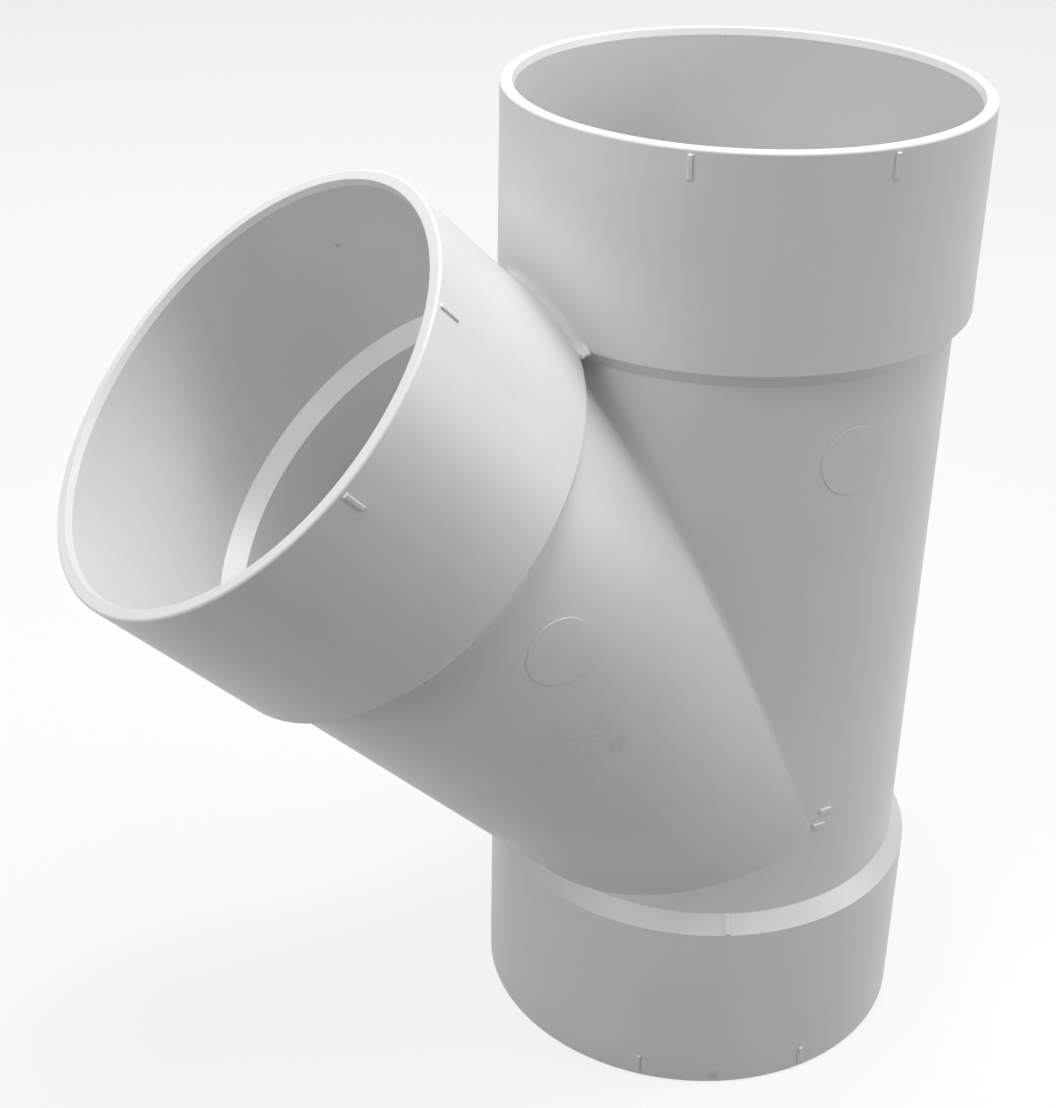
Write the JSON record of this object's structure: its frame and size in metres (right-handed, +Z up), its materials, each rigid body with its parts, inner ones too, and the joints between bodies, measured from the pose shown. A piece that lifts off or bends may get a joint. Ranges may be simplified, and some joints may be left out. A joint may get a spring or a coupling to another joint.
{
  "type": "lateral wye pipe fitting",
  "caption": "White plastic sewer wye: a straight run with a 45 degree branch of the same bore, and a plain glued socket with a sloping shoulder on each end.",
  "frame": {"origin": "centre of the lower rim, on the axis of the run, where the fitting stands", "axes": "+Z up along the run, the branch rises towards -X at 45 degrees, and Y is across the plane of symmetry"},
  "size_m": [0.3334, 0.1714, 0.3755],
  "materials": {
    "white_plastic": "moulded white rigid plastic with a dull satin skin, glossier in the corners"
  },
  "bodies": {
    "root": {"wye_fitting": "white_plastic"}
  },
  "joints": []
}
